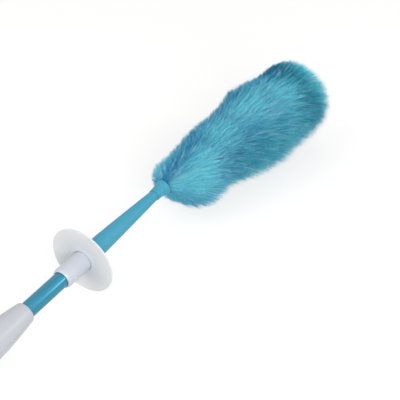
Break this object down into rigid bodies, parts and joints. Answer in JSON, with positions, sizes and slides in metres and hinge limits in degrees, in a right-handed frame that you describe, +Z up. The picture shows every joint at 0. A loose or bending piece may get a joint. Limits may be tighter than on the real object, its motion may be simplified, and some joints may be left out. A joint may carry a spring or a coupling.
{
  "type": "spinning hand duster",
  "caption": "Battery hand duster: flared handle, blue tube, round guard disc and a tapered neck carrying a long fluffy fibre head that spins.",
  "frame": {"origin": "centre of the bounding box's base, on the surface the duster lies on", "axes": "+X along the duster from the end cap to the fibre head's tip, level; +Z up; the duster's own axis rises 5.10 degrees from +X towards +Z"},
  "size_m": [0.8154, 0.1358, 0.1332],
  "materials": {
    "handle_white": "satin",
    "collar_white": "satin",
    "guard_white": "satin",
    "tube_blue": "gloss",
    "neck_blue": "satin",
    "ferrule_blue": "satin",
    "fibre_blue": "matte",
    "core_white": "satin",
    "steel": "satin",
    "motor_can": "satin",
    "brass": "satin",
    "nylon": "satin",
    "dark_plastic": "satin",
    "board_green": "satin",
    "cell_sleeve": "satin",
    "wire_red": "satin",
    "wire_black": "satin",
    "button_blue": "matte"
  },
  "bodies": {
    "handle": {"handle_shell_top": "handle_white", "handle_shell_bottom": "handle_white", "shell_screw_1": "steel", "shell_screw_2": "steel", "shell_screw_3": "steel", "shell_screw_4": "steel", "extension_tube": "tube_blue", "rear_bush": "nylon", "front_bush": "nylon", "collar": "collar_white", "guard_disc": "guard_white", "gearbox_front_plate": "nylon", "gearbox_back_plate": "nylon", "gearbox_screw_1": "steel", "gearbox_screw_2": "steel", "gearbox_screw_3": "steel", "idler_pin": "steel", "motor": "motor_can", "motor_terminal_a": "brass", "motor_terminal_b": "brass", "switch_board": "board_green", "switch_body": "dark_plastic", "bay_bulkhead": "dark_plastic", "bay_contact_minus": "brass", "bay_contact_plus": "brass", "wire_battery_to_switch": "wire_red", "wire_switch_to_motor": "wire_red", "wire_battery_to_motor": "wire_black"},
    "spindle": {"drive_rod": "steel", "rod_clip": "steel", "drive_hex": "steel", "output_gear": "nylon"},
    "head": {"neck": "neck_blue", "neck_hub": "nylon", "ferrule": "ferrule_blue", "core_rod": "core_white", "core_tip": "core_white", "pile_1": "fibre_blue", "pile_2": "fibre_blue", "pile_3": "fibre_blue", "pile_4": "fibre_blue"},
    "motor_rotor": {"motor_pinion": "brass", "motor_shaft": "steel"},
    "idler": {"idler_gear": "nylon"},
    "button": {"button": "button_blue"},
    "cartridge": {"end_cap": "handle_white", "cell_tray": "dark_plastic", "cell_1": "cell_sleeve", "cell_2": "cell_sleeve", "cell_3": "cell_sleeve", "cell_4": "cell_sleeve", "cell_spring_1": "steel", "cell_spring_2": "steel", "cell_spring_3": "steel", "cell_spring_4": "steel", "rear_bridge_right": "steel", "rear_bridge_left": "steel", "front_bridge": "steel", "front_pad_minus": "steel", "front_pad_plus": "steel"}
  },
  "joints": [
    {"name": "head_spin", "type": "hinge", "parent": "handle", "child": "spindle", "pos_m": [-0.09224, 0.02004, 0.04822], "axis": [0.996, 0, 0.0889], "continuous": true},
    {"name": "head_pull", "type": "slide", "parent": "spindle", "child": "head", "axis": [0.996, 0, 0.0889], "range_m": [0, 0.03]},
    {"name": "motor_spin", "type": "hinge", "parent": "handle", "child": "motor_rotor", "pos_m": [-0.09224, 0.02004, 0.04822], "axis": [0.996, 0, 0.0889], "continuous": true},
    {"name": "idler_spin", "type": "hinge", "parent": "handle", "child": "idler", "pos_m": [-0.26465, 0.02004, 0.02265], "axis": [0.996, 0, 0.0889], "continuous": true},
    {"name": "button_press", "type": "slide", "parent": "handle", "child": "button", "axis": [0.0889, 0, -0.996], "range_m": [0, 0.0012], "stiffness_N_per_m": 1500},
    {"name": "cartridge_pull", "type": "slide", "parent": "handle", "child": "cartridge", "axis": [-0.996, 0, -0.0889], "range_m": [0, 0.07]}
  ],
  "couplings": [
    {"joint": "motor_spin", "follows": "head_spin", "ratio": 4.9383},
    {"joint": "idler_spin", "follows": "head_spin", "ratio": -2.2222}
  ]
}
